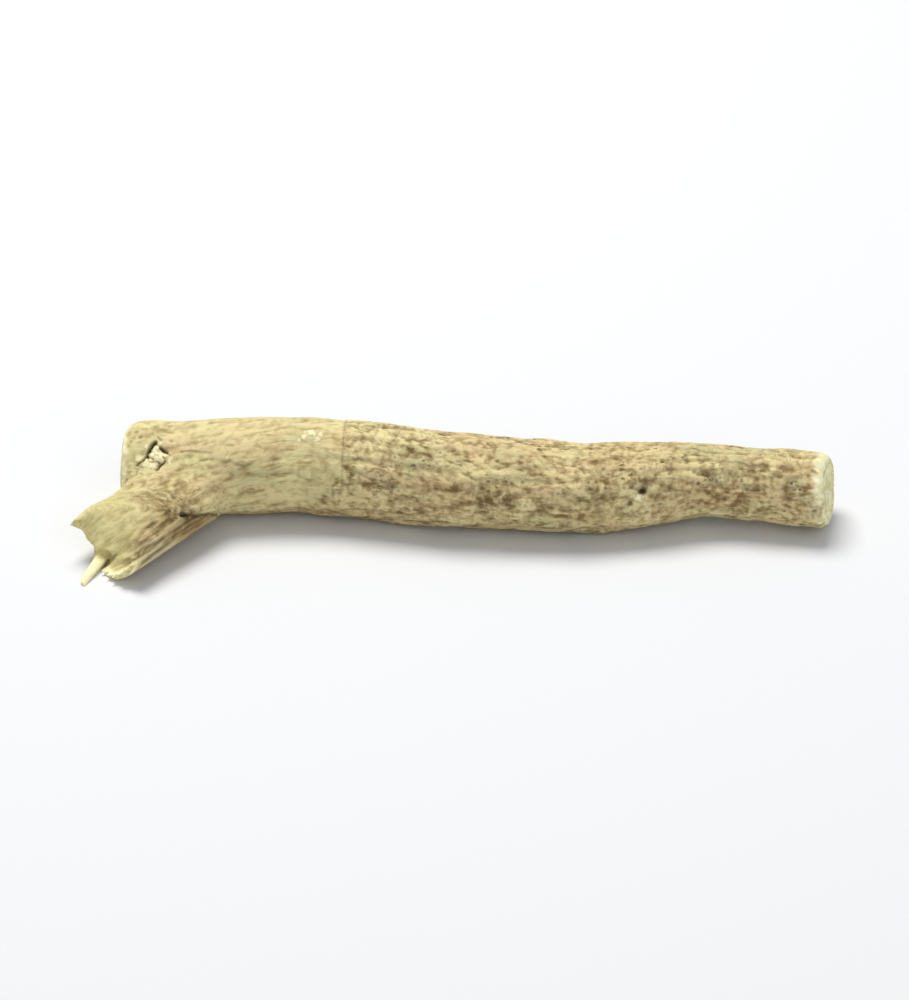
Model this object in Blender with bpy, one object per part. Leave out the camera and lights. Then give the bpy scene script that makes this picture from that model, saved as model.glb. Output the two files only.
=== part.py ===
"""A dried ashwagandha root: one cut length of taproot, forked at its thick end, lying on a table.

Metres, +Z up. +X runs along the root towards its cleanly cut end, and the torn side root
points to -X and -Y. The origin is on the table, at the middle of the root's footprint.

The root is two limbs, each a skinned stack of rings: the body and the side root. Stations
run along the body from its thick end, reaches run along the side root from the body's
middle line. Angles go round the body from its -Y side (0) over the top (90), and round the
side root from its back (0) over the top (90).
"""

import math

import bmesh
import bpy
import numpy as np

for old in list(bpy.data.objects):
    bpy.data.objects.remove(old)

MM = 0.001

# Body: (station, radius), (station, distance towards +Y) and (station, height of the middle line)
BODY_LENGTH = 95.4 * MM
BODY_RADIUS = [
    (0, 6.3), (8, 6.55), (24, 6.5), (43, 6.3), (54, 6.05),
    (64, 5.85), (72, 5.55), (81, 4.7), (89, 4.9), (96, 5.05),
]
BODY_SWAY = [
    (0, 0.1), (7, 0.2), (15, 0.8), (24, 1.6), (33, 0.9), (43, -0.8),
    (54, -1.2), (63, -1), (70, 0), (78, 1.6), (87, 1.3), (96, 0.6),
]
BODY_HEIGHT = [(0, 6.3), (22, 6.5), (43, 6.45), (54, 6.15), (64, 5.8), (72, 5.85), (82, 5.85), (96, 5.6)]
HEAD_ROUNDING = 1.8 * MM
CUT_ROUNDING = 1.2 * MM
CUT_SLANT = 0.2
CUT_SLANT_ANGLE = math.radians(35)
CUT_SLANT_FROM = 84 * MM

# Side root: where it leaves the body, which way it goes, and where it was torn off
STUB_STATION = 12.2 * MM
STUB_SUNK = 1.1 * MM
STUB_SWING = math.radians(53)
STUB_DROP = 0.03
STUB_START = 0.5 * MM
STUB_ROOTED = 6 * MM
STUB_LENGTH = 20 * MM
STUB_RADIUS = [(0, 5), (5, 5.6), (10, 5.8), (16, 5.8), (21, 6)]
STUB_FLATTENING = 0.78
FORK_FILLET = 2.4 * MM

# Where the tear runs: (angle in degrees, reach), from the back over the top and round below
TEAR = [
    (0, 20.8), (16, 22), (38, 20.9), (70, 20.5), (105, 20.2), (150, 20.8), (190, 21.8),
    (225, 22.8), (262, 22), (300, 20.5), (330, 19.2), (345, 19.6), (360, 20.8),
]
NOSE_FROM = 0.45
NOSE_FALL = 1.78
SHARD_ANGLES = (math.radians(12), math.radians(60))
TOOTH_LENGTH = 0.5 * MM
TEAR_GROOVE = 0.25 * MM

# Middle of the footprint in the root's own coordinates
ORIGIN_STATION = 45.15 * MM
ORIGIN_SWAY = -6.44 * MM

# Surface relief that shows from a step away
LOBE_SHARE = 0.014
FURROW_DEPTH = 0.3 * MM
LUMP_HEIGHT = 0.07 * MM
BARE_SHARE = 0.55
BARK_EDGE = 29.9 * MM
BARK_EDGE_RETREAT = 4.5 * MM
BARK_STEP = 0.22 * MM
KNOT_ANGLE = math.radians(40)
GRAIN_SWEEP = math.radians(32)

# Bosses and scars, then cracks and pits, on the body: (station, angle in degrees, radius, height)
BOSSES = [
    (5.0, 44, 2.8, 0.6),
    (26.0, 73, 1.3, 0.3),
    (37.0, 158, 2.1, 0.5),
    (52.0, 118, 1.5, 0.25),
    (64.5, 292, 2.6, 0.3),
    (76.5, 205, 1.8, 0.4),
    (88.0, 60, 1.6, 0.2),
]
HOLLOWS = [
    (4.1, 53, 0.95, -1.1),
    (3.2, 45, 0.8, -0.8),
    (6.5, 50, 0.9, -1.1),
    (5.6, 34, 0.9, -1.0),
    (37.0, 158, 0.9, -0.65),
    (70.0, 24, 0.85, -0.6),
    (76.5, 205, 0.8, -0.5),
]

BODY_SIDES = 64
BODY_STATIONS = [(1.8, 14, 1.0), (14, 28.6, 1.65), (28.6, 31, 0.5), (31, 93.5, 1.65), (93.5, 95, 0.8)]
STUB_SIDES = 40
STUB_RINGS = 15
HEAD_FACE = [(0.8, 0.15), (0.55, 0.3), (0.3, 0.35)]
CUT_FACE = [(0.84, 0.05), (0.66, -0.22), (0.36, 0.1)]
TORN_ROWS = [(0.3, -0.35), (0.65, -0.3)]

# Splinters on the torn end: (angle in degrees, share of the radius, length, width,
# fall at the tip, turn at the tip)
SPLINTERS = [
    (312, 0.84, 6.4, 1.4, 0.8, 2.9),
    (292, 0.84, 1.7, 1.2, 0.1, 0.3),
    (266, 0.84, 1.3, 1.4, 0.1, 0.0),
    (240, 0.84, 1.6, 1.2, 0.0, -0.2),
]
SPLINTER_SUNK = 2.4 * MM
SPLINTER_SIDES = 6
SPLINTER_FLATTENING = 0.5
SEAM_MERGE = 0.04 * MM

STRAW = (0.62, 0.5, 0.27, 1)


def through(points, at):
    """Values, in metres, of a smooth curve through (station, value) points given in millimetres."""
    stations = np.array([p[0] for p in points]) * MM
    values = np.array([p[1] for p in points]) * MM
    slopes = np.gradient(values, stations)
    low = np.clip(np.searchsorted(stations, at, side="right") - 1, 0, len(stations) - 2)
    span = stations[low + 1] - stations[low]
    t = np.clip((at - stations[low]) / span, 0, 1)
    from_low = (1 + 2 * t) * (1 - t) ** 2 * values[low] + t * (1 - t) ** 2 * span * slopes[low]
    from_high = t**2 * (3 - 2 * t) * values[low + 1] - t**2 * (1 - t) * span * slopes[low + 1]
    return from_low + from_high


def ramp(start, end, at):
    """0 before start, 1 after end, smooth between."""
    t = np.clip((at - start) / (end - start), 0, 1)
    return t * t * (3 - 2 * t)


def turn_between(angle, other):
    """Signed difference of two angles, between minus a half turn and a half turn."""
    return (angle - other + math.pi) % math.tau - math.pi


def pattern(seed, turns, pitches, along, angle, waves=24):
    """A smooth random pattern round a limb, about -2 to 2.

    It is a sum of waves with whole turns round the limb and pitches along it in millimetres.
    """
    draw = np.random.default_rng(seed)
    total = 0
    for _ in range(waves):
        turn = draw.integers(turns[0], turns[1] + 1)
        pitch = draw.uniform(*pitches) * MM * draw.choice((-1, 1))
        total = total + np.cos(turn * angle + math.tau * along / pitch + draw.uniform(0, math.tau))
    return total / math.sqrt(waves / 2)


def furrows(seed, turns, pitches, along, angle):
    """Rounded ridges with narrow furrows between them, about -0.5 to 0.4."""
    return np.minimum(np.hypot(pattern(seed, turns, pitches, along, angle), 0.3), 1.1) - 0.75


def spot(along, angle, radius, place):
    """A rounded boss or hollow on a limb's skin."""
    station, degrees, size, height = place
    away = turn_between(angle, math.radians(degrees))
    distance = np.hypot(along - station * MM, away * radius)
    return height * MM * np.exp(-((distance / (size * MM)) ** 2) * 1.2)


def body_relief(station, angle):
    """How far the body's skin stands off its plain radius."""
    radius = through(BODY_RADIUS, station)
    low_front = np.clip(np.cos(angle + KNOT_ANGLE), 0, 1) ** 3
    edge = BARK_EDGE - BARK_EDGE_RETREAT * low_front + 0.3 * MM * np.sin(3 * angle)
    bark = ramp(-0.4 * MM, 0.4 * MM, station - edge)
    strength = BARE_SHARE + (1 - BARE_SHARE) * bark
    knot_side = np.clip(np.cos(angle - KNOT_ANGLE), 0, 1)
    sweep = GRAIN_SWEEP * ramp(24 * MM, 4 * MM, station) * knot_side
    relief = LOBE_SHARE * radius * pattern(5, (2, 3), (45, 110), station, angle)
    relief = relief + FURROW_DEPTH * strength * furrows(11, (5, 12), (25, 80), station, angle + sweep)
    relief = relief + LUMP_HEIGHT * pattern(8, (2, 6), (7, 16), station, angle)
    relief = relief + BARK_STEP * (bark - 0.5)
    for place in BOSSES + HOLLOWS:
        relief = relief + spot(station, angle, radius, place)
    return relief


def body_middle(station):
    """Middle line of the body as x, y and z."""
    return station - ORIGIN_STATION, through(BODY_SWAY, station) - ORIGIN_SWAY, through(BODY_HEIGHT, station)


def body_inset(station):
    """How far the rounded ends draw the body's skin in."""
    head = np.clip(HEAD_ROUNDING - station, 0, HEAD_ROUNDING)
    cut = np.clip(CUT_ROUNDING - (BODY_LENGTH - station), 0, CUT_ROUNDING)
    head_inset = HEAD_ROUNDING - np.sqrt(HEAD_ROUNDING**2 - head**2)
    return head_inset + CUT_ROUNDING - np.sqrt(CUT_ROUNDING**2 - cut**2)


def body_rings():
    """Rings of the body from the middle of one end face to the middle of the other."""
    depths = np.array([0, 0.12, 0.45])
    runs = [np.arange(start, end - 0.01, step) * MM for start, end, step in BODY_STATIONS]
    stations = np.concatenate([depths * HEAD_ROUNDING, *runs, BODY_LENGTH - depths[::-1] * CUT_ROUNDING])
    angle = np.arange(BODY_SIDES) / BODY_SIDES * math.tau
    rings = []
    for station in stations:
        radius = through(BODY_RADIUS, station) + body_relief(station, angle) - body_inset(station)
        share = CUT_SLANT * ramp(CUT_SLANT_FROM, BODY_LENGTH, station)
        slant = share * radius * np.cos(angle - CUT_SLANT_ANGLE)
        x, y, z = body_middle(station)
        rings.append(np.stack([x - slant, y - radius * np.cos(angle), z + radius * np.sin(angle)], axis=1))
    head = face_rings(rings[0], HEAD_FACE, np.array([-1, 0, 0]))
    return head[::-1] + rings + face_rings(rings[-1], CUT_FACE, np.array([1, 0, 0]))


def face_rings(rim, profile, outward):
    """Rings of an end face from inside its rim to its middle point.

    The profile lists (share of the rim's radius, how far proud in millimetres).
    """
    middle = rim.mean(axis=0)
    angle = np.arange(len(rim)) / len(rim) * math.tau
    rings = []
    for share, proud in profile:
        wavy = proud + 0.12 * np.cos(3 * angle) * share
        rings.append(middle + (rim - middle) * share + (wavy * MM)[:, None] * outward)
    return [*rings, (middle + profile[-1][1] * MM * outward)[None, :]]


def stub_frame():
    """The side root's start, its direction and the two directions across it."""
    x, y, z = body_middle(STUB_STATION)
    along = np.array([-math.cos(STUB_SWING), -math.sin(STUB_SWING), -STUB_DROP])
    along /= np.linalg.norm(along)
    back = np.cross(along, (0, 0, 1))
    back /= np.linalg.norm(back)
    return np.array([x, y, z - STUB_SUNK]), along, back, np.cross(back, along)


def stub_radius(reach, angle):
    """Radius of the side root with its furrows, which fade before the tear."""
    depth = FURROW_DEPTH * ramp(19.4 * MM, 16 * MM, reach)
    return through(STUB_RADIUS, reach) + depth * furrows(31, (5, 10), (20, 50), reach, angle)


def tear_reach(angle):
    """How far the side root reaches before it is torn off: least on top, most below."""
    return through(TEAR, np.degrees(angle) % 360 * MM)


def nose_curve(share, angle):
    """What is left of the side root's height on its upper side, which curves down onto the torn lip."""
    over = np.clip((share - NOSE_FROM) / (1 - NOSE_FROM), 0, 1)
    above = (np.sin(angle) > 0) * ramp(*SHARD_ANGLES, angle % math.tau)
    return 1 - NOSE_FALL * above * (1 - np.sqrt(1 - 0.97 * over**2))


def stub_rings():
    """Rings of the side root from inside the body to the torn lip."""
    start, along, back, up = stub_frame()
    angle = np.arange(STUB_SIDES) / STUB_SIDES * math.tau
    rings = []
    for share in np.linspace(0, 1, STUB_RINGS):
        reach = STUB_START + share * (tear_reach(angle) - STUB_START)
        height = STUB_FLATTENING * np.sin(angle) * nose_curve(share, angle)
        round_it = np.cos(angle)[:, None] * back + height[:, None] * up
        rings.append(start + reach[:, None] * along + stub_radius(reach, angle)[:, None] * round_it)
    teeth = TOOTH_LENGTH * np.abs(pattern(21, (4, 14), (50, 90), 0, angle))
    rings[-1] += teeth[:, None] * along
    return [(start + STUB_START * along)[None, :], *rings]


def torn_rows(rim):
    """Rows of points across the torn lip, between the upper and the lower edge of the rim."""
    _, along, back, up = stub_frame()
    half = len(rim) // 2
    upper = rim[1:half]
    lower = rim[:half:-1]
    thick = np.clip((upper - lower) @ up / MM - 0.5, 0, 1) * np.sin(np.arange(1, half) / half * math.pi) ** 2
    rows = []
    for share, proud in TORN_ROWS:
        row = upper + (lower - upper) * share
        groove = TEAR_GROOVE * pattern(41, (0, 0), (1.8, 5), row @ back, 0)
        rows.append(row + (thick * (proud * MM + groove))[:, None] * along)
    return rows


def splinter_rings(place):
    """Rings of one torn fibre, from its root inside the side root to its tip."""
    degrees, share, length, width, fall, turn = place
    start, along, back, up = stub_frame()
    angle = math.radians(degrees)
    outward = math.cos(angle) * back + STUB_FLATTENING * math.sin(angle) * up
    reach_out = tear_reach(np.array(angle)) - 0.6 * MM
    foot = start + reach_out * along + share * through(STUB_RADIUS, STUB_LENGTH) * outward
    sideways = np.cross(along, outward)
    round_it = np.arange(SPLINTER_SIDES) / SPLINTER_SIDES * math.tau
    rings = []
    for t, thickness in ((0, 1), (0.45, 1), (0.75, 0.75), (1, 0.35)):
        reach = -SPLINTER_SUNK + t * (length * MM + SPLINTER_SUNK)
        bent = max(0, reach / (length * MM)) ** 1.5 * MM
        middle = foot + reach * along - bent * (fall * up + turn * back)
        half = width * MM / 2 * thickness
        thin = SPLINTER_FLATTENING * np.sin(round_it)[:, None] * outward
        rings.append(middle + half * (thin + np.cos(round_it)[:, None] * sideways))
    return [rings[0].mean(axis=0)[None, :], *rings, rings[-1].mean(axis=0)[None, :]]


def skinned(name, rings, rows=()):
    """A closed mesh object over a stack of rings.

    Its ends are single points, or else rows of points across the last ring.
    """
    shape = bmesh.new()
    stack = [[shape.verts.new(point) for point in ring] for ring in rings]
    if rows:
        rim = stack[-1]
        half = len(rim) // 2
        across = [rim[1:half], *[[shape.verts.new(point) for point in row] for row in rows], rim[:half:-1]]
        for above, below in zip(across, across[1:]):
            shape.faces.new((rim[0], above[0], below[0]))
            shape.faces.new((rim[half], below[-1], above[-1]))
            for j in range(half - 2):
                shape.faces.new((above[j], above[j + 1], below[j + 1], below[j]))
    for low, high in zip(stack, stack[1:]):
        sides = max(len(low), len(high))
        for j in range(sides):
            k = (j + 1) % sides
            if len(low) == 1:
                shape.faces.new((low[0], high[j], high[k]))
            elif len(high) == 1:
                shape.faces.new((low[j], high[0], low[k]))
            else:
                shape.faces.new((low[j], high[j], high[k], low[k]))
    bmesh.ops.recalc_face_normals(shape, faces=shape.faces)
    mesh = bpy.data.meshes.new(name)
    shape.to_mesh(mesh)
    shape.free()
    obj = bpy.data.objects.new(name, mesh)
    bpy.context.scene.collection.objects.link(obj)
    return obj


def join(obj, others):
    """Fuses the other objects into obj and removes them."""
    group = bpy.data.collections.new("to_join")
    for other in others:
        bpy.context.scene.collection.objects.unlink(other)
        group.objects.link(other)
    bpy.context.scene.collection.children.link(group)
    union = obj.modifiers.new("join", "BOOLEAN")
    union.operation = "UNION"
    union.operand_type = "COLLECTION"
    union.collection = group
    with bpy.context.temp_override(object=obj):
        bpy.ops.object.modifier_apply(modifier=union.name)
    for other in others:
        bpy.data.objects.remove(other)
    bpy.data.collections.remove(group)


def close_up(obj):
    """Merges the seams' shortest edges away."""
    shape = bmesh.new()
    shape.from_mesh(obj.data)
    bmesh.ops.remove_doubles(shape, verts=shape.verts, dist=SEAM_MERGE)
    bmesh.ops.dissolve_degenerate(shape, edges=shape.edges, dist=SEAM_MERGE / 4)
    shape.to_mesh(obj.data)
    shape.free()


def room_to_body(points):
    """Distance of points from the body's skin, less than 0 inside."""
    station = points[:, 0] + ORIGIN_STATION
    inside = np.clip(station, 0, BODY_LENGTH)
    _, y, z = body_middle(inside)
    angle = np.arctan2(points[:, 2] - z, y - points[:, 1])
    away = np.hypot(points[:, 1] - y, points[:, 2] - z)
    outward = away - through(BODY_RADIUS, inside) - body_relief(inside, angle) + HEAD_ROUNDING
    endward = HEAD_ROUNDING - station
    corner = np.hypot(np.maximum(outward, 0), np.maximum(endward, 0))
    return corner + np.minimum(np.maximum(outward, endward), 0) - HEAD_ROUNDING


def room_to_stub(points):
    """Distance of points from the side root's skin, less than 0 inside."""
    start, along, back, up = stub_frame()
    offset = points - start
    reach = offset @ along
    side = offset @ back
    rise = offset @ up
    angle = np.arctan2(rise / STUB_FLATTENING, side)
    skin = stub_radius(reach, angle) * np.hypot(np.cos(angle), STUB_FLATTENING * np.sin(angle))
    behind = np.maximum(STUB_ROOTED - reach, 0)
    return np.hypot(np.hypot(side, rise), behind) - skin


def rounded_union(points):
    """Distance from both limbs' skins fused with a fillet, and how near a point is to both of them."""
    body = room_to_body(points)
    stub = room_to_stub(points)
    overlap = np.maximum(FORK_FILLET - np.abs(body - stub), 0) / FORK_FILLET
    return np.minimum(body, stub) - overlap**2 * FORK_FILLET / 4, overlap


def fill_fork(obj):
    """Moves the skin near the fork outwards, so that the limbs meet in a rounded fillet."""
    everything = np.array([v.co for v in obj.data.vertices])
    _, overlap = rounded_union(everything)
    start, along, _, _ = stub_frame()
    reach = (everything - start) @ along
    near = (overlap > 0) & (reach > 0) & (reach < STUB_LENGTH - 4 * MM)
    points = everything[near]
    inwards = ramp(0, 3.5 * MM, points[:, 0] + ORIGIN_STATION)
    apart = room_to_body(points) - room_to_stub(points)
    own = np.minimum(room_to_body(points), room_to_stub(points))
    own = np.clip(own, -0.3 * MM, 0.3 * MM) * np.clip(np.abs(apart) / MM, 0, 1)
    step = 0.03 * MM
    for _ in range(6):
        value, _ = rounded_union(points)
        slopes = []
        for axis in np.eye(3) * step:
            slopes.append((rounded_union(points + axis)[0] - rounded_union(points - axis)[0]) / (2 * step))
        slope = np.stack(slopes, axis=1)
        steepness = np.maximum((slope**2).sum(axis=1), 0.25)
        move = np.clip((value - own) / steepness, -0.5 * MM, 0.5 * MM) * inwards
        points = points - move[:, None] * slope
    everything[near] = points
    obj.data.vertices.foreach_set("co", everything.ravel())
    obj.data.update()


def settle(obj):
    """Flattens what would lie below the table into small resting spots."""
    for vertex in obj.data.vertices:
        vertex.co.z = max(vertex.co.z, 0)


def straw_coloured():
    material = bpy.data.materials.new("dried_root")
    material.use_nodes = True
    shader = material.node_tree.nodes["Principled BSDF"]
    shader.inputs["Base Color"].default_value = STRAW
    shader.inputs["Roughness"].default_value = 0.85
    shader.inputs["Metallic"].default_value = 0
    return material


def make_root():
    root = skinned("ashwagandha_root", body_rings())
    rings = stub_rings()
    stub = skinned("side_root", rings, torn_rows(rings[-1]))
    splinters = [skinned(f"splinter_{i}", splinter_rings(place)) for i, place in enumerate(SPLINTERS)]
    join(root, [stub, *splinters])
    close_up(root)
    fill_fork(root)
    settle(root)
    root.data.materials.clear()
    root.data.materials.append(straw_coloured())
    root.data.shade_smooth()
    return root


make_root()
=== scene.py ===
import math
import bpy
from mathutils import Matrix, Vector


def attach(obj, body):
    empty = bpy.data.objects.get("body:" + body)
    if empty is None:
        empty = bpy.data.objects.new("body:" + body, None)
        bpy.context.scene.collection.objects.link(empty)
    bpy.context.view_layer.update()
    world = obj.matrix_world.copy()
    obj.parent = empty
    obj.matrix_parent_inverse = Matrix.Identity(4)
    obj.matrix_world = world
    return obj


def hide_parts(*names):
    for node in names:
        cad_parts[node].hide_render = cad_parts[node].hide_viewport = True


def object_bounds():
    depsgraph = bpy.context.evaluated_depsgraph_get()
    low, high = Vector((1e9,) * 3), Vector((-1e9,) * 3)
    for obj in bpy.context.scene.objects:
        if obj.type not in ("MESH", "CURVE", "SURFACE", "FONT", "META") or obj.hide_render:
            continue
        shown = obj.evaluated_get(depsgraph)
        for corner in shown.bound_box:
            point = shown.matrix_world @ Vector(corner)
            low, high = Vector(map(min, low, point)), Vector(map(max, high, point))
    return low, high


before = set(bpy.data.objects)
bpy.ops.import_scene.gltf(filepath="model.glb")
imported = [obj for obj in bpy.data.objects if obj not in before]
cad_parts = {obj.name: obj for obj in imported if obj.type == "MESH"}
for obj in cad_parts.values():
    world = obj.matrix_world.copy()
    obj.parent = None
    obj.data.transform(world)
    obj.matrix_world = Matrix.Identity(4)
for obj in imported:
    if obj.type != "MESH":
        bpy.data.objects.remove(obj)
cad_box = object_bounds()

# A dried ashwagandha root on a pale floor in soft light. +Z is up. The root's lengths are in
# millimetres until its mesh is made, the rest are in metres.
# The root has the shapes of the solid, with its finer relief: grain, cracks, pits and torn fibres.
# Stations run along the body from its thick end, reaches run along the side root from the body's
# middle line. Angles go round the body from its -Y side (0) over the top (90), and round the side
# root from its back (0) over the top (90).

from types import SimpleNamespace

import bmesh
import bpy
import numpy as np
from mathutils import Vector


MM = 0.001

# Body: (station, radius), (station, distance towards +Y) and (station, height of the middle line)
BODY_LENGTH = 95.4
BODY_RADIUS = [
    (0, 6.3), (8, 6.55), (24, 6.5), (43, 6.3), (54, 6.05),
    (64, 5.85), (72, 5.55), (81, 4.7), (89, 4.9), (96, 5.05),
]
BODY_SWAY = [
    (0, 0.1), (7, 0.2), (15, 0.8), (24, 1.6), (33, 0.9), (43, -0.8),
    (54, -1.2), (63, -1), (70, 0), (78, 1.6), (87, 1.3), (96, 0.6),
]
BODY_HEIGHT = [
    (0, 6.3), (22, 6.5), (43, 6.45), (54, 6.15),
    (64, 5.8), (72, 5.85), (82, 5.85), (96, 5.6),
]
HEAD_ROUNDING = 1.8
CUT_ROUNDING = 1.2
CUT_SLANT = 0.2
CUT_SLANT_ANGLE = math.radians(35)
CUT_SLANT_FROM = 84

# Side root: where it leaves the body, which way it goes, and where it was torn off
STUB_STATION = 12.2
STUB_SUNK = 1.1
STUB_SWING = math.radians(53)
STUB_DROP = 0.03
STUB_START = 0.5
STUB_ROOTED = 6
STUB_LENGTH = 20
STUB_RADIUS = [(0, 5), (5, 5.6), (10, 5.8), (16, 5.8), (21, 6)]
FLATTENING = 0.78
FORK_FILLET = 2.4
FURROWS_FADE = (19.4, 16)

# Where the tear runs: (angle in degrees, reach), from the back over the top and round below
TEAR = [
    (0, 20.8), (13, 22.2), (25, 21.3), (42, 20.9), (70, 20.5), (105, 20.2),
    (150, 20.8), (190, 21.8), (225, 22.6), (262, 22.3), (271, 22), (275.5, 20.5),
    (280, 21.4), (300, 20.4), (330, 19.2), (345, 19.6), (360, 20.8),
]
# Its upper side curves down onto the torn lip from this share of its length on
NOSE_FROM = 0.45
NOSE_FALL = 1.78
SHARD_ANGLES = (math.radians(12), math.radians(60))
TOOTH_LENGTH = 0.5
TEAR_GROOVE = 0.25

# Middle of the footprint in the root's own coordinates
ORIGIN_STATION = 45.15
ORIGIN_SWAY = -6.44

# Surface relief that shows from a step away
LOBE_SHARE = 0.014
FURROW_DEPTH = 0.3
LUMP_HEIGHT = 0.07
BARE_SHARE = 0.55
BARK_EDGE = 29.9
BARK_RETREAT = 4.5
BARK_STEP = 0.22
BARK_STEP_WIDTH = 0.4
KNOT_ANGLE = math.radians(40)
GRAIN_SWEEP = math.radians(32)
GRAIN_SWEEP_FADE = (24, 4)
FACE_WAVE = 0.12

# Bosses and scars, then cracks and pits, on the body: (station, angle in degrees, radius, height)
BOSSES = [
    (5, 44, 2.8, 0.6), (26, 73, 1.3, 0.3), (37, 158, 2.1, 0.5),
    (52, 118, 1.5, 0.25), (64.5, 292, 2.6, 0.3), (76.5, 205, 1.8, 0.4),
    (88, 60, 1.6, 0.2),
]
HOLLOWS = [
    (4.1, 53, 0.9, -0.5), (3.2, 45, 0.8, -0.4), (6.3, 51, 0.8, -0.5),
    (5.6, 34, 0.8, -0.5), (37, 158, 0.9, -0.65), (70, 24, 0.85, -0.6),
    (76.5, 205, 0.8, -0.5),
]

# How finely the limbs are skinned and fused. The body's rings stand from the first station to the
# last in steps, and at these shares of its rounded ends.
BODY_SIDES = 200
BODY_STATIONS = (1.8, 95, 0.5)
ROUNDING_SHARES = (0, 0.12, 0.45)
STUB_SIDES = 128
STUB_RINGS = 60
# End faces: (share of the rim's radius, how far proud). Torn lip: (share of its height, same)
HEAD_FACE = [(0.9, 0.08), (0.8, 0.15), (0.55, 0.3), (0.3, 0.35)]
CUT_FACE = [(0.92, 0.04), (0.84, 0.05), (0.66, -0.22), (0.36, 0.1)]
TORN_ROWS = [(0.15, -0.2), (0.3, -0.35), (0.5, -0.35), (0.65, -0.3), (0.85, -0.15)]
VOXEL = 0.16
MOST_TRIANGLES = 190000

# Splinters on the torn end: (angle in degrees, share of the radius, length, width, thickness,
# fall at the tip, turn at the tip)
SPLINTERS = [
    (291, 0.84, 5.6, 2, 1.2, 0.7, 1.5),
    (271, 0.86, 1.4, 0.8, 0.7, 0.1, 0.1),
    (263, 0.86, 0.8, 0.7, 0.6, 0.1, 0),
    (255, 0.86, 1.3, 0.8, 0.6, 0.1, 0),
    (247, 0.86, 0.9, 0.7, 0.6, 0.1, 0),
    (239, 0.86, 1.5, 0.8, 0.6, 0.1, 0),
    (230, 0.86, 1, 0.7, 0.6, 0.1, -0.1),
    (221, 0.86, 1.4, 0.8, 0.6, 0, -0.2),
    (209, 0.86, 1.1, 0.8, 0.6, 0, -0.2),
]
# Along a splinter: (share of its length, share of its width)
SPLINTER_SHAPE = [(0, 1.4), (0.3, 1.25), (0.5, 1.05), (0.7, 0.95), (0.88, 0.85), (0.96, 0.75), (1, 0.5)]
# Short fibres stand all along the lip, from an angle on over a span in degrees
SMALL_SPLINTERS = 22
LIP_ANGLE = 198
LIP_SPAN = 150
SPLINTER_SUNK = 2.4
SPLINTER_SIDES = 8
SPLINTER_FOOT = 0.6

# Places on the side root are (reach, rise towards the top of the back). First, where its bark gives
# way to torn wood and where the bright tips of the torn fibres begin, as (rise, reach)
TORN_FROM = [
    (-6, 21.4), (-4.5, 21.2), (-3.5, 20.7), (-2.4, 19.7),
    (-1.2, 18.5), (1.3, 17.3), (3.8, 15.2), (5.5, 13.5),
]
TIPS_FROM = [
    (-6, 21), (-5.4, 21.4), (-4.6, 22.1), (-4, 22.3), (-2.8, 21.4), (-2, 21.3),
    (-0.6, 21.6), (1, 21), (3, 21.2), (4.3, 21.9), (6, 21.6),
]
# Creases and brown streaks on the side root as lines of such places, each with its half width,
# depth and darkness. The darkness is painted shade in the creases, darkest in the shadow gap under
# the body, and partly the streaks' own brown. The first one parts the low flank from the rest.
SIDE_CREASES = [
    ([(12.2, -2.4), (11.4, -2.85), (10.1, -3.35), (8.1, -4.05), (4.6, -5.1)], 0.17, 0.32, 0.6),
    ([(12.1, -2.5), (11.4, -2.9)], 0.4, 0.35, 0.9),
    ([(10.5, -3.25), (9.6, -3.55)], 0.26, 0.25, 0.7),
    ([(15.9, -1.3), (17.2, -1.5)], 0.32, 0.16, 0.7),
    ([(17.2, -1.5), (19, -1.7)], 0.16, 0.06, 0.4),
    ([(13.2, -1), (15, -1.25)], 0.26, 0.12, 0.55),
    ([(14.2, -2.2), (17.4, -2.5)], 0.2, 0.08, 0.45),
    ([(18.4, -3.25), (19.5, -3.4)], 0.28, 0.12, 0.6),
    ([(16.4, -3.7), (20.6, -4)], 0.2, 0.1, 0.5),
    ([(15.6, -4.6), (20.8, -4.85)], 0.22, 0.12, 0.6),
    ([(19.6, -2.75), (21.3, -2.9)], 0.15, 0.06, 0.3),
    ([(20.9, -3.6), (22.2, -3.7)], 0.16, 0.1, 0.4),
]
# A slit in the torn lip, darkened as painted shade, and pale ridges beside the creases, whose
# paleness is partly painted highlight along the side root's edges
SLIT = ([(20.4, -2.05), (21.2, -2.4), (22, -2.75)], 0.2, 0.1, 0.7)
SIDE_RIDGES = [
    ([(14.2, -5), (20.4, -5.35)], 0.26, 0.1, 0.35),
    ([(17, -4.25), (21.7, -4.5)], 0.2, 0.08, 0.45),
    ([(17.6, -2.95), (21, -3.2)], 0.2, 0.05, 0.25),
    ([(15.5, 5), (21.6, 4.7)], 0.5, 0.03, 0.35),
]
# Brown zones of the side root, partly real brown and partly painted shade on its low flank, and a
# swelling at the end of its back: (reach, rise, half length, half width, amount)
SIDE_BROWNS = [
    (13.4, -3.2, 4, 1.3, 0.95), (16.4, -2.5, 3, 1.3, 0.75), (10.2, -4.6, 3.4, 0.9, 0.9),
    (18.6, -3.6, 2.6, 0.9, 0.55), (14.6, -1, 2, 0.7, 0.6), (13.6, 1.4, 3.6, 2.8, 0.55),
    (10.6, 0.6, 3.2, 3.2, 0.5),
]
SIDE_SWELLINGS = [(18.6, 4.6, 2.4, 1.7, 0.45)]

# Where the side root's grain joins the body's, and how wide the zones fade
FORK_BLEND = (-1.2, 1.2)
GRAIN_BEND = (2, 8)
GRAIN_SHIFT = 7
LOW_FLANK_FADE = (2, 6)
BODY_MARKS_FADE = (9.6, 8.2)
BARK_FADE = (-0.25, 0.25)
TORN_FADE = (-1.6, 1.4)
SIDE_BARK_RISE = (1.8, -1.6)
SIDE_BARK_REACH = (9, 14)
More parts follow.
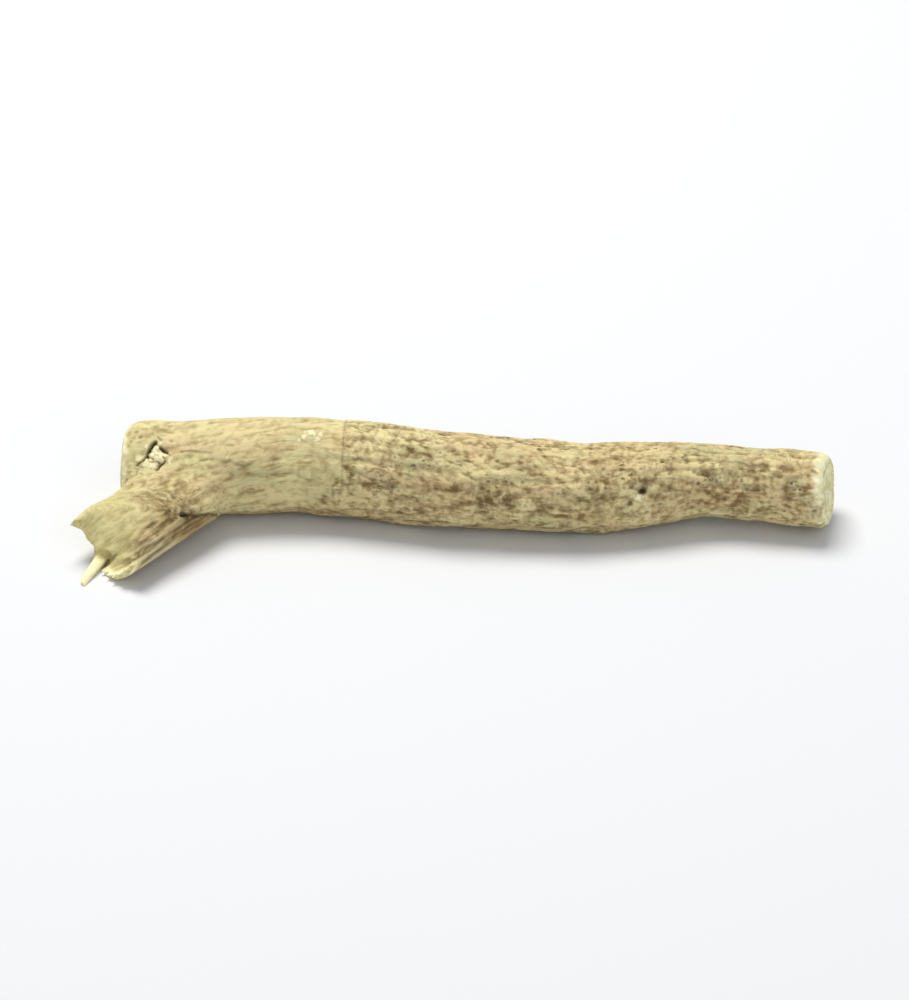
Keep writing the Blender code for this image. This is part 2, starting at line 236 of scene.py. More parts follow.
# Cut wood shows on the faces and a little way over their rims, less far low at the front
RIM_FROM = 94.2
RIM_FADE = (-0.6, 0.5)
HEAD_RIM = 0.7
HEAD_FADE = (0.3, -0.3)
FACE_FADE = (-0.5, -0.1)
LOW_FRONT_TOP = (math.radians(25), math.radians(-20))
LOW_FRONT_FOOT = (math.radians(-150), math.radians(-60))

# Cracks round the knot as lines of (station, angle in degrees), each with its half width and depth
CRACKS = [
    ([(4.62, 63), (4.07, 56.5), (3.85, 51.5)], 0.21, 0.7),
    ([(3.85, 51.5), (3.6, 44.5), (3.15, 39.7)], 0.17, 0.5),
    ([(3.15, 39.7), (2.7, 37), (2.3, 33)], 0.13, 0.35),
    ([(3.6, 44.5), (4.28, 40.8)], 0.13, 0.35),
    ([(5.4, 54.5), (5.82, 52.4), (6.25, 50.5)], 0.17, 0.5),
    ([(6.2, 51), (6.85, 44.5)], 0.1, 0.2),
    ([(5.96, 42.3), (6.06, 37.6)], 0.12, 0.28),
    ([(6.06, 37.6), (5.51, 33.4), (5.15, 28)], 0.16, 0.4),
    ([(4.88, 71), (5.44, 65)], 0.15, 0.25),
    ([(4.62, 63), (5, 58), (5.4, 54.5)], 0.1, 0.22),
    ([(4.28, 40.8), (5.1, 38.5), (5.51, 33.4)], 0.07, 0.16),
    ([(4.9, 52), (5.3, 47)], 0.08, 0.2),
]
# Shallow brown wrinkles on the body, as lines of (station, angle in degrees)
WRINKLES = [
    [(8.4, 52), (11.2, 50.5), (13.2, 47.5)],
    [(12.2, 60), (16.6, 54), (19.9, 50), (22.5, 51)],
    [(10.6, 40), (15.6, 33.5), (18.6, 34.5)],
    [(19.6, 40), (22.6, 38), (25.6, 35.5)],
    [(12.5, 24), (16.5, 20), (21, 21)],
    [(31.2, 28), (35.2, 19.5), (38.6, 15)],
    [(33, 40), (36.5, 36), (40, 30), (44, 27)],
    [(38, 66), (42, 60), (47, 58)],
    [(46.2, 40), (52.5, 30), (56.6, 27)],
    [(50.6, 12), (56.2, 8), (62, 11)],
    [(58.6, 22), (64.2, 16), (67, 18)],
    [(60, 60), (65, 54), (69, 55)],
    [(74, 50), (79, 42), (84, 44)],
    [(73, 20), (78, 16), (86, 20)],
    [(82, 62), (87, 58), (92, 60)],
    [(40, 130), (50, 138), (58, 134)],
    [(62, 190), (72, 198), (84, 194)],
    [(20, 200), (30, 210), (42, 206)],
    [(30, 300), (44, 310), (56, 304)],
    [(60, 260), (70, 268), (86, 262)],
]
# Small flat flakes of bark: (station, angle in degrees, radius, height)
CHIPS = [
    (4.72, 54, 0.3, 0.1), (4.35, 47, 0.24, 0.1), (4.95, 42.5, 0.32, 0.12),
    (3.58, 37, 0.32, 0.08), (4.55, 33, 0.42, 0.08), (3.42, 58, 0.3, 0.05),
    (5.5, 45.5, 0.26, 0.1), (2.62, 44, 0.34, 0.05), (5.35, 60, 0.26, 0.06),
    (6.7, 40, 0.26, 0.05), (5.1, 49, 0.3, 0.08), (5.65, 40, 0.3, 0.08),
    (4.2, 40, 0.28, 0.06), (6, 46, 0.24, 0.06), (69.8, 15.5, 0.32, 0.08),
    (24.5, 69, 0.34, 0.05), (25.5, 74, 0.4, 0.06), (26.3, 66, 0.3, 0.06),
    (26.7, 71, 0.26, 0.05),
]
# Pits: (station, angle in degrees, radius, depth)
PITS = [
    (70.3, 23, 0.5, 0.45), (68.7, 8, 0.36, 0.22), (5.83, 20.5, 0.32, 0.18),
    (6.85, 64, 0.3, 0.14), (2.5, 73, 0.3, 0.12), (1.9, 82, 0.3, 0.1),
    (72.9, 65, 0.26, 0.2), (37, 158, 0.6, 0.3), (76.5, 205, 0.5, 0.3),
    (25.4, 69, 0.16, 0.1), (63.4, 30, 0.26, 0.16), (80.2, 31, 0.24, 0.16),
    (83.6, 33, 0.26, 0.18), (94.2, -6, 0.3, 0.2), (93.6, 8, 0.24, 0.16),
]
# Where small pores crowd: (station, angle in degrees, half length, half width, number of pores)
PORE_FIELDS = [
    (40, 50, 4, 2.4, 30), (51.5, 33, 5, 3, 26), (68, 44, 5, 3.5, 34),
    (73, 60, 4, 2.5, 18), (82, 34, 5, 2, 34), (91.5, 24, 2.5, 2.5, 30),
    (94, -10, 1.5, 4, 24), (36, 16, 4, 2.5, 26), (62, 150, 24, 9, 60),
    (60, 270, 28, 9, 60), (20, 250, 12, 8, 20),
]
PORE_SHARE = 0.3
PORE_RADIUS = (0.14, 0.26)
PORE_DEPTH = (0.05, 0.13)

# Heights and depths of the finest relief
SWELL_HEIGHT = 0.08
SMALL_SWELL_HEIGHT = 0.04
LINE_DEPTH = 0.08
FINE_LINE_DEPTH = 0.04
ROUGHNESS = 0.075
CROSS_CRACK_DEPTH = 0.05
FIBRE_HEIGHT = 0.055
STRIPE_HEIGHT = 0.07
WRINKLE_WIDTH = 0.2
WRINKLE_DEPTH = 0.12
EDGE_GROOVE_WIDTH = 0.16
EDGE_GROOVE_DEPTH = 0.05
# How far the grain wanders aside, and after how many steps the noise repeats
WAVINESS = 0.5
LATTICE = 32

# Tone patches: (station, angle in degrees, half length, half width, strength)
GREEN_PATCHES = [
    (39.4, 50, 4.2, 1.9, 1), (43, 62, 3, 1.5, 0.7), (79.5, 84, 4.8, 1.9, 1),
    (84, 96, 3.4, 1.6, 0.8), (51.5, 72, 3.2, 1.9, 0.8), (26.5, -4, 2.6, 1.7, 0.7),
    (18.6, 20, 4, 1.9, 0.8), (3.5, 62, 3, 2.6, 0.6), (25.5, 62, 3.5, 2.6, 0.7),
    (91.2, 29, 2, 1.8, 0.9), (56, 50, 3.5, 1.6, 0.6), (64, 160, 7, 3, 0.8),
    (33, 230, 5, 3, 0.8), (80, 290, 6, 3, 0.8), (58, 330, 5, 2, 0.7),
]
# brown patches: real stains, and painted shade below the knot and along the low front edge
BROWN_PATCHES = [
    (35, 13, 2.8, 1.2, 0.7), (37.5, 25, 3.6, 1, 0.7), (43.3, 24, 3.4, 0.9, 1),
    (50.5, 6, 4.2, 1.5, 0.95), (31, 20, 0.8, 3, 0.75), (41, 50, 3, 1.6, 0.55),
    (45.5, 38, 1.8, 1.2, 0.5), (57, 3, 5, 1.3, 0.6), (66, 12, 2.6, 1.5, 0.6),
    (66, 38, 3.6, 1.8, 0.4), (83, 6, 7, 1.5, 0.85), (83, 30, 2.4, 1, 0.4),
    (92, 27, 2.2, 2, 1), (91.5, 4, 2.8, 2.2, 0.8), (94.3, -2, 1, 3, 0.55),
    (70, 8, 4, 1.3, 0.7), (4.5, 16, 4.6, 2.8, 0.75), (5.5, 86, 2.6, 1.4, 0.4),
    (88, 60, 3, 1.4, 0.4), (62, -8, 9, 1.6, 0.6), (86, -10, 7, 1.6, 0.7),
    (50, 200, 9, 3, 0.7), (24, 300, 7, 3, 0.6), (72, 250, 7, 3, 0.7),
]

# Colours, as 0 to 255 of a screen
STRAW = (220, 209, 154)
STRAW_WARM = (218, 198, 148)
STRAW_DARK = (166, 144, 96)
BARK = (224, 210, 155)
BARK_WARM = (218, 195, 145)
BARK_DARK = (128, 104, 64)
BARK_DEEP = (122, 95, 53)
BARK_BLOTCH = (124, 102, 62)
# the side root's streaked bark, darker than the body's partly as painted shade on its lower side
SIDE_PALE = (200, 180, 130)
SIDE_BROWN = (112, 86, 48)
WOOD = (224, 213, 154)
WOOD_DARK = (188, 174, 118)
# the cut wood's cream, brightened to near white partly as painted highlight
CREAM = (252, 248, 206)
GREY_GREEN = (190, 188, 140)
CRACK_BROWN = (58, 46, 20)
SPECK_BROWN = (98, 84, 50)
CHIP_PALE = (248, 240, 196)
FLOOR_WHITE = (224, 225, 228)

# Camera and light, in metres and the lens in millimetres
VIEW_AZIMUTH = math.radians(3.2)
VIEW_ELEVATION = math.radians(32)
VIEW_WIDTH = 0.122
LENS = 200
SENSOR = 36
FRAME_WIDTH = 909
FRAME_HEIGHT = 1000
# Lights, aimed at the middle of the floor: (name, place, size, power, colour)
LIGHTS = [
    ("key", (-0.16, 0.26, 0.75), 0.45, 6.1, (1, 0.985, 0.95)),
    ("fill", (0.4, -0.7, 0.55), 0.8, 1.7, (0.98, 0.99, 1)),
]
WORLD_COLOUR = (0.94, 0.97, 1, 1)
WORLD_STRENGTH = 0.42
FLOOR_HALF = 3
FLOOR_ROUGHNESS = 0.9
ROOT_ROUGHNESS = 0.85
ROOT_SHINE = 0.3
BUMP_STRENGTH = 0.7
BUMP_HEIGHT = 0.14


def through(points, at):
    """Values of a smooth curve through (station, value) points."""
    stations, values = np.array(points).T
    slopes = np.gradient(values, stations)
    low = np.clip(np.searchsorted(stations, at, side="right") - 1, 0, len(stations) - 2)
    span = stations[low + 1] - stations[low]
    t = np.clip((at - stations[low]) / span, 0, 1)
    from_low = (1 + 2 * t) * (1 - t) ** 2 * values[low] + t * (1 - t) ** 2 * span * slopes[low]
    from_high = t**2 * (3 - 2 * t) * values[low + 1] - t**2 * (1 - t) * span * slopes[low + 1]
    return from_low + from_high


def ramp(start, end, at):
    """0 before start, 1 after end, smooth between."""
    t = np.clip((at - start) / (end - start), 0, 1)
    return t * t * (3 - 2 * t)


def bell(distance):
    """1 at no distance, about a third at 1 and nothing from 2 on."""
    return np.exp(-(distance**2))


def plateau(distance):
    """A bell with a flat top and steep sides."""
    return np.exp(-(distance**4))


def turn_from(angle, degrees):
    """Signed turn from a direction in degrees to an angle, at most a half turn."""
    return (angle - math.radians(degrees) + math.pi) % math.tau - math.pi


def pattern(seed, turns, pitches, along, angle, waves=24):
    """A sum of waves, about -2 to 2, with whole turns round a limb and pitches in millimetres."""
    draw = np.random.default_rng(seed)
    total = 0
    for _ in range(waves):
        turn = draw.integers(turns[0], turns[1] + 1)
        pitch = draw.uniform(*pitches) * draw.choice((-1, 1))
        total = total + np.cos(turn * angle + math.tau * along / pitch + draw.uniform(0, math.tau))
    return total / math.sqrt(waves / 2)


def furrows(seed, turns, pitches, along, angle):
    """Rounded ridges with narrow furrows between them, about -0.5 to 0.4."""
    return np.minimum(np.hypot(pattern(seed, turns, pitches, along, angle), 0.3), 1.1) - 0.75


def spot(along, angle, radius, place):
    """A rounded boss or hollow on a limb's skin."""
    station, degrees, size, height = place
    distance = np.hypot(along - station, turn_from(angle, degrees) * radius)
    return height * np.exp(-((distance / size) ** 2) * 1.2)


def knot_sweep(station, angle):
    """How far the grain is swept round towards the knot."""
    knot_side = np.clip(np.cos(angle - KNOT_ANGLE), 0, 1)
    return GRAIN_SWEEP * ramp(*GRAIN_SWEEP_FADE, station) * knot_side


def bark_edge(angle, waver):
    """The station where rough bark begins, nearest to the thick end low at the front."""
    low_front = np.clip(np.cos(angle + KNOT_ANGLE), 0, 1) ** 3
    return BARK_EDGE - BARK_RETREAT * low_front + waver


def cut_slant(station, angle, radius):
    """How far the slant of the cut end draws the skin back."""
    share = CUT_SLANT * ramp(CUT_SLANT_FROM, BODY_LENGTH, station)
    return share * radius * np.cos(angle - CUT_SLANT_ANGLE)


def body_relief(station, angle):
    """How far the body's skin stands off its plain radius."""
    radius = through(BODY_RADIUS, station)
    edge = bark_edge(angle, 0.3 * np.sin(3 * angle))
    bark = ramp(-BARK_STEP_WIDTH, BARK_STEP_WIDTH, station - edge)
    strength = BARE_SHARE + (1 - BARE_SHARE) * bark
    swept = angle + knot_sweep(station, angle)
    relief = LOBE_SHARE * radius * pattern(5, (2, 3), (45, 110), station, angle)
    relief = relief + FURROW_DEPTH * strength * furrows(11, (5, 12), (25, 80), station, swept)
    relief = relief + LUMP_HEIGHT * pattern(8, (2, 6), (7, 16), station, angle)
    relief = relief + BARK_STEP * (bark - 0.5)
    for place in BOSSES + HOLLOWS:
        relief = relief + spot(station, angle, radius, place)
    return relief


def body_middle(station):
    """Middle line of the body as x, y and z."""
    y = through(BODY_SWAY, station) - ORIGIN_SWAY
    return station - ORIGIN_STATION, y, through(BODY_HEIGHT, station)


def body_inset(station):
    """How far the rounded ends draw the body's skin in."""
    inset = 0
    for rounding, inside in ((HEAD_ROUNDING, station), (CUT_ROUNDING, BODY_LENGTH - station)):
        inset += rounding - np.sqrt(rounding**2 - np.clip(rounding - inside, 0, rounding) ** 2)
    return inset


def body_rings():
    """Rings of the body from the middle of one end face to that of the other."""
    head = np.array(ROUNDING_SHARES) * HEAD_ROUNDING
    cut = BODY_LENGTH - np.array(ROUNDING_SHARES[::-1]) * CUT_ROUNDING
    angle = np.arange(BODY_SIDES) / BODY_SIDES * math.tau
    rings = []
    for station in np.concatenate([head, np.arange(*BODY_STATIONS), cut]):
        radius = through(BODY_RADIUS, station) + body_relief(station, angle) - body_inset(station)
        x, y, z = body_middle(station)
        x = x - cut_slant(station, angle, radius)
        rings.append(np.stack([x, y - radius * np.cos(angle), z + radius * np.sin(angle)], axis=1))
    outward = np.array([1, 0, 0])
    head_face = face_rings(rings[0], HEAD_FACE, -outward)
    return head_face[::-1] + rings + face_rings(rings[-1], CUT_FACE, outward)


def face_rings(rim, profile, outward):
    """Rings of an end face from inside its rim to its middle point."""
    middle = rim.mean(axis=0)
    angle = np.arange(len(rim)) / len(rim) * math.tau
    rings = []
    for share, proud in profile:
        wavy = proud + FACE_WAVE * np.cos(3 * angle) * share
        rings.append(middle + (rim - middle) * share + wavy[:, None] * outward)
    return [*rings, (middle + profile[-1][1] * outward)[None, :]]


def stub_frame():
    """The side root's start, its direction and the two directions across it."""
    x, y, z = body_middle(STUB_STATION)
    along = np.array([-math.cos(STUB_SWING), -math.sin(STUB_SWING), -STUB_DROP])
    along /= np.linalg.norm(along)
    back = np.cross(along, (0, 0, 1))
    back /= np.linalg.norm(back)
    return np.array([x, y, z - STUB_SUNK]), along, back, np.cross(back, along)


def stub_radius(reach, angle):
    """Radius of the side root with its furrows, which fade before the tear."""
    depth = FURROW_DEPTH * ramp(*FURROWS_FADE, reach)
    return through(STUB_RADIUS, reach) + depth * furrows(31, (5, 10), (20, 50), reach, angle)


def tear_reach(angle):
    """How far the side root reaches before it is torn off: least on top, most below."""
    return through(TEAR, np.degrees(angle) % 360)


def nose_curve(share, angle):
    """How much of the side root's height is left where it curves down onto the torn lip."""
    over = np.clip((share - NOSE_FROM) / (1 - NOSE_FROM), 0, 1)
    above = (np.sin(angle) > 0) * ramp(*SHARD_ANGLES, angle % math.tau)
    return 1 - NOSE_FALL * above * (1 - np.sqrt(1 - 0.97 * over**2))


def stub_rings():
    """Rings of the side root from inside the body to the torn lip."""
    start, along, back, up = stub_frame()
    angle = np.arange(STUB_SIDES) / STUB_SIDES * math.tau
    rings = []
    for share in np.linspace(0, 1, STUB_RINGS):
        reach = STUB_START + share * (tear_reach(angle) - STUB_START)
        height = FLATTENING * np.sin(angle) * nose_curve(share, angle)
        round_it = np.cos(angle)[:, None] * back + height[:, None] * up
        rings.append(start + reach[:, None] * along + stub_radius(reach, angle)[:, None] * round_it)
    teeth = TOOTH_LENGTH * np.abs(pattern(21, (4, 14), (50, 90), 0, angle))
    rings[-1] += teeth[:, None] * along
    return [(start + STUB_START * along)[None, :], *rings]


def torn_rows(rim):
    """Rows of points across the torn lip, from the upper to the lower edge of the rim."""
    _, along, back, up = stub_frame()
    half = len(rim) // 2
    upper = rim[1:half]
    lower = rim[:half:-1]
    inside = np.sin(np.arange(1, half) / half * math.pi) ** 2
    thick = np.clip((upper - lower) @ up - 0.5, 0, 1) * inside
    rows = []
    for share, proud in TORN_ROWS:
        row = upper + (lower - upper) * share
        groove = TEAR_GROOVE * pattern(41, (0, 0), (1.8, 5), row @ back, 0)
        rows.append(row + (thick * (proud + groove))[:, None] * along)
    return rows


def splinter_rings(place):
    """Rings of one torn fibre, from its root inside the side root to its tip."""
    degrees, share, length, width, thickness, fall, turn = place
    start, along, back, up = stub_frame()
    angle = math.radians(degrees)
    outward = math.cos(angle) * back + FLATTENING * math.sin(angle) * up
    reach_out = tear_reach(np.array(angle)) - SPLINTER_FOOT
    foot = start + reach_out * along + share * through(STUB_RADIUS, STUB_LENGTH) * outward
    sideways = np.cross(along, outward)
    round_it = np.arange(SPLINTER_SIDES) / SPLINTER_SIDES * math.tau
    rings = []
    for t, full in SPLINTER_SHAPE:
        reach = -SPLINTER_SUNK + t * (length + SPLINTER_SUNK)
        bent = max(0, reach / length) ** 1.2
        middle = foot + reach * along - bent * (fall * up + turn * back)
        thin = thickness * np.sin(round_it)[:, None] * outward
        wide = width * np.cos(round_it)[:, None] * sideways
        rings.append(middle + full / 2 * (thin + wide))
    return [rings[0].mean(axis=0)[None, :], *rings, rings[-1].mean(axis=0)[None, :]]


def small_splinters():
    """Short fibres all along the torn lip."""
    draw = np.random.default_rng(77)
    fibres = []
    for i in range(SMALL_SPLINTERS):
        degrees = LIP_ANGLE + LIP_SPAN * (i + draw.uniform(0.1, 0.9)) / SMALL_SPLINTERS
        share = draw.uniform(0.8, 0.92)
        length = draw.uniform(0.4, 1.2)
        width = draw.uniform(0.4, 0.7)
        fall = draw.uniform(-0.1, 0.2)
        turn = draw.uniform(-0.25, 0.35)
        fibres.append((degrees, share, length, width, 0.45, fall, turn))
    return fibres


def round_body(points):
    """Station of points, and their angle and distance from the body's middle line."""
    station = points[:, 0] + ORIGIN_STATION
    _, y, z = body_middle(np.clip(station, 0, BODY_LENGTH))
    side = y - points[:, 1]
    rise = points[:, 2] - z
    return station, np.arctan2(rise, side), np.hypot(side, rise)


def round_stub(points):
    """Reach of points along the side root, and how far behind and above its middle line they are."""
    start, *axes = stub_frame()
    return [(points - start) @ axis for axis in axes]


def room_to_body(points):
    """Distance of points from the body's skin, less than 0 inside."""
    station, angle, away = round_body(points)
    inside = np.clip(station, 0, BODY_LENGTH)
    outward = away - through(BODY_RADIUS, inside) - body_relief(inside, angle) + HEAD_ROUNDING
    endward = HEAD_ROUNDING - station
    corner = np.hypot(np.maximum(outward, 0), np.maximum(endward, 0))
    return corner + np.minimum(np.maximum(outward, endward), 0) - HEAD_ROUNDING


def room_to_stub(points):
    """Distance of points from the side root's skin, less than 0 inside."""
    reach, side, rise = round_stub(points)
    angle = np.arctan2(rise / FLATTENING, side)
    skin = stub_radius(reach, angle) * np.hypot(np.cos(angle), FLATTENING * np.sin(angle))
    behind = np.maximum(STUB_ROOTED - reach, 0)
    return np.hypot(np.hypot(side, rise), behind) - skin


def rounded_union(points):
    """Distance from both limbs' skins fused with a fillet, and how near points are to both."""
    body = room_to_body(points)
    stub = room_to_stub(points)
    overlap = np.maximum(FORK_FILLET - np.abs(body - stub), 0) / FORK_FILLET
    return np.minimum(body, stub) - overlap**2 * FORK_FILLET / 4, overlap


def add_skin(shape, rings, rows=()):
    """Adds a closed skin over rings that end in a point, or in rows of points across the last one."""
    stack = [[shape.verts.new(point * MM) for point in ring] for ring in rings]
    if rows:
        rim = stack[-1]
        half = len(rim) // 2
        between = [[shape.verts.new(point * MM) for point in row] for row in rows]
        across = [rim[1:half], *between, rim[:half:-1]]
        for above, below in zip(across, across[1:]):
            shape.faces.new((rim[0], above[0], below[0]))
            shape.faces.new((rim[half], below[-1], above[-1]))
            for j in range(half - 2):
                shape.faces.new((above[j], above[j + 1], below[j + 1], below[j]))
    for low, high in zip(stack, stack[1:]):
        sides = max(len(low), len(high))
        for j in range(sides):
            k = (j + 1) % sides
            corners = [low[j % len(low)], high[j % len(high)], high[k % len(high)], low[k % len(low)]]
            shape.faces.new(list(dict.fromkeys(corners)))


def noise(grain, along, across, seed):
    """Smooth random values, about -1 to 1, with these steps a millimetre along and across the grain."""
    slopes = np.random.default_rng(seed).normal(size=(LATTICE, LATTICE, LATTICE, 3))
    slopes /= np.linalg.norm(slopes, axis=3, keepdims=True)
    points = grain * (along, across, across)
    cell = np.floor(points).astype(int)
    inside = points - cell
    ease = inside**3 * (inside * (inside * 6 - 15) + 10)
    total = np.zeros(len(points))
    for corner in np.ndindex(2, 2, 2):
        slope = slopes[tuple(((cell + corner) % LATTICE).T)]
        weight = np.where(corner, ease, 1 - ease).prod(axis=1)
        total += weight * (slope * (inside - corner)).sum(axis=1)
    return total * 1.6


def on_low_flank(at):
    """How far points of the side root are below its longest crease, 0 to 1."""
    crease_reach, crease_lift = zip(*SIDE_CREASES[0][0][::-1])
    soft = 0.2 + 1.6 * ramp(1.5, -2, at.front)
    below = at.lift - np.interp(at.reach, crease_reach, crease_lift)
    return ramp(soft, -soft, below) * ramp(*LOW_FLANK_FADE, at.reach) * at.on_stub


def straight_body(station, angle, away):
    """The body's points in the straightened root. The grain parts round bosses."""
    flow = angle + knot_sweep(station, angle)
    for boss_station, degrees, size, _ in BOSSES:
        aside = turn_from(angle, degrees)
        distance = np.hypot(station - boss_station, aside * away) / size
        flow = flow - 0.6 * aside * bell(distance / 1.1)
    return np.stack([-station, -away * np.cos(flow), away * np.sin(flow)], axis=1)


def straight_side(at):
    """The side root's points in the straightened root."""
    turned = ramp(3, 4.5, np.abs(at.lift))
    turned_from = np.where(at.lift < 0, 3.5, 0.5)
    across = 0.4 * at.front + 0.8 * turned * np.minimum(at.front - turned_from, 0)
    along = at.reach - STUB_STATION - GRAIN_SHIFT
    places = [along, (at.lift - across) / math.sqrt(2), (at.lift + across) / math.sqrt(2)]
    return np.stack(places, axis=1)


def survey(points):
    """Where points of the skin are, with their grain, zones and fine relief."""
    at = SimpleNamespace()
    station, at.angle, at.away = round_body(points)
    at.station = station + cut_slant(station, at.angle, at.away)
    at.reach, side, rise = round_stub(points)
    # the tear slopes down towards the front, and the fibres on it stay straight along the side root
    at.lift = (side + rise) / math.sqrt(2)
    at.front = (rise - side) / math.sqrt(2)
    nearer_stub = room_to_body(points) - room_to_stub(points)
    at.on_stub = ramp(*FORK_BLEND, nearer_stub)
    at.on_body = 1 - at.on_stub
    at.near_body = ramp(*BODY_MARKS_FADE, at.away)
    at.low_flank = on_low_flank(at)
    bend = np.maximum(ramp(*GRAIN_BEND, nearer_stub), at.low_flank)[:, None]
    on_body = straight_body(station, at.angle, at.away)
    at.grain = on_body + (straight_side(at) - on_body) * bend
    wander = np.stack([noise(at.grain, 0.28, 0.4, seed) for seed in (401, 402)], axis=1)
    at.grain[:, 1:] += WAVINESS * wander * (1 - 0.7 * at.on_stub)[:, None]
    add_zones(at)
    add_relief(at)
    return at


def add_zones(at):
    """Adds how far points have rough bark, torn wood, cut wood and streaked bark, 0 to 1. The streaked
    bark lies on the side root's lower side and low flank, and its darker colours are partly painted
    shade.
    """
    ragged = noise(at.grain, 0.5, 1.1, 101)
    fibrous = noise(at.grain, 0.22, 2, 102) + 0.5 * ragged
    flaky = ragged + 0.8 * noise(at.grain, 1.1, 1.6, 103)
    bark_from = bark_edge(at.angle, 0.25 * ragged)
    at.bark = ramp(*BARK_FADE, at.station - bark_from) * at.on_body
    torn_from = through(TORN_FROM, at.lift) + 1.2 * fibrous
    at.torn = ramp(*TORN_FADE, at.reach - torn_from) * at.on_stub
    rim = ramp(*RIM_FADE, at.station - RIM_FROM - 0.6 * flaky)
    head = ramp(*HEAD_FADE, at.station - HEAD_RIM - 0.4 * ragged)
    turn = turn_from(at.angle, 0)
    low_front = ramp(*LOW_FRONT_TOP, turn) * ramp(*LOW_FRONT_FOOT, turn)
    patchy = ramp(-0.25, 0.35, flaky)
    face = ramp(*FACE_FADE, at.station - BODY_LENGTH)
    rim = rim * np.maximum(1 - 0.75 * low_front * (1 - patchy), face)
    at.cut = np.maximum(rim, head) * at.on_body
    # streaked bark on the side root's lower side and low flank, darkened partly as painted shade
    side_bark = at.on_stub * ramp(*SIDE_BARK_RISE, at.lift) * ramp(*SIDE_BARK_REACH, at.reach)
    at.side_bark = np.maximum(side_bark, at.low_flank)


def to_segment(u, v, du, dv):
    """Distance of points (u, v) from the straight line between (0, 0) and (du, dv)."""
    share = np.clip((u * du + v * dv) / (du * du + dv * dv), 0, 1)
    return np.hypot(u - share * du, v - share * dv)


def to_body_line(at, angle, line):
    """Distance on the body's skin from a line of (station, angle in degrees) points."""
    distances = []
    for (s0, a0), (s1, a1) in zip(line, line[1:]):
        dv = math.radians(a1 - a0) * BODY_RADIUS[1][1]
        distances.append(to_segment(at.station - s0, turn_from(angle, a0) * at.away, s1 - s0, dv))
    return np.min(distances, axis=0)


def to_side_line(at, line):
    """Distance on the side root from a line of (reach, rise) places."""
    distances = []
    for (r0, l0), (r1, l1) in zip(line, line[1:]):
        distances.append(to_segment(at.reach - r0, at.lift - l0, r1 - r0, l1 - l0))
    return np.min(distances, axis=0)


def to_spot(at, station, degrees, chosen=slice(None)):
    """Distance on the body's skin from one place, for all points or the chosen ones."""
    aside = turn_from(at.angle[chosen], degrees) * at.away[chosen]
    return np.hypot(at.station[chosen] - station, aside)


def to_side_spot(at, reach, lift, half_length, half_width):
    """Distance on the side root from the middle of an oval, 1 on its outline."""
    return np.hypot((at.reach - reach) / half_length, (at.lift - lift) / half_width)


def pores():
    """Small pores as (station, angle in degrees, radius, depth)."""
    draw = np.random.default_rng(55)
    made = []
    for station, degrees, half_length, half_width, count in PORE_FIELDS:
        for _ in range(round(count * PORE_SHARE)):
            s = station + half_length * draw.normal() * 0.6
            a = degrees + math.degrees(half_width / 6) * draw.normal() * 0.6
            made.append((s, a, draw.uniform(*PORE_RADIUS), draw.uniform(*PORE_DEPTH)))
    return made


def patches_on_body(at, patches, seed):
    """Soft patches with a ragged outline, 0 to 1."""
    ragged = noise(at.grain, 0.45, 0.8, seed) + 0.6 * noise(at.grain, 1.1, 1.9, seed + 1)
    total = np.zeros(len(ragged))
    for station, degrees, half_length, half_width, strength in patches:
        aside = turn_from(at.angle, degrees) * at.away / half_width
        inside = 1 - np.hypot((at.station - station) / half_length, aside) + 0.55 * ragged
        total = np.maximum(total, strength * ramp(-0.3, 0.7, inside))
    return total * at.on_body


def side_browns(at):
    """Brown zones on the side root, partly painted shade on its low flank, 0 to 1."""
    ragged = noise(at.grain, 0.3, 1.4, 311) + 0.5 * noise(at.grain, 0.9, 2.2, 312)
    total = np.zeros(len(ragged))
    for *place, strength in SIDE_BROWNS:
        inside = 1 - to_side_spot(at, *place) + 0.5 * ragged
        total = np.maximum(total, strength * ramp(-0.3, 0.6, inside))
    return total * at.on_stub * ramp(-3, 0, at.front)


def darken(at, amount):
    at.dark = np.maximum(at.dark, amount)


def brighten(at, amount):
    at.pale = np.maximum(at.pale, amount)


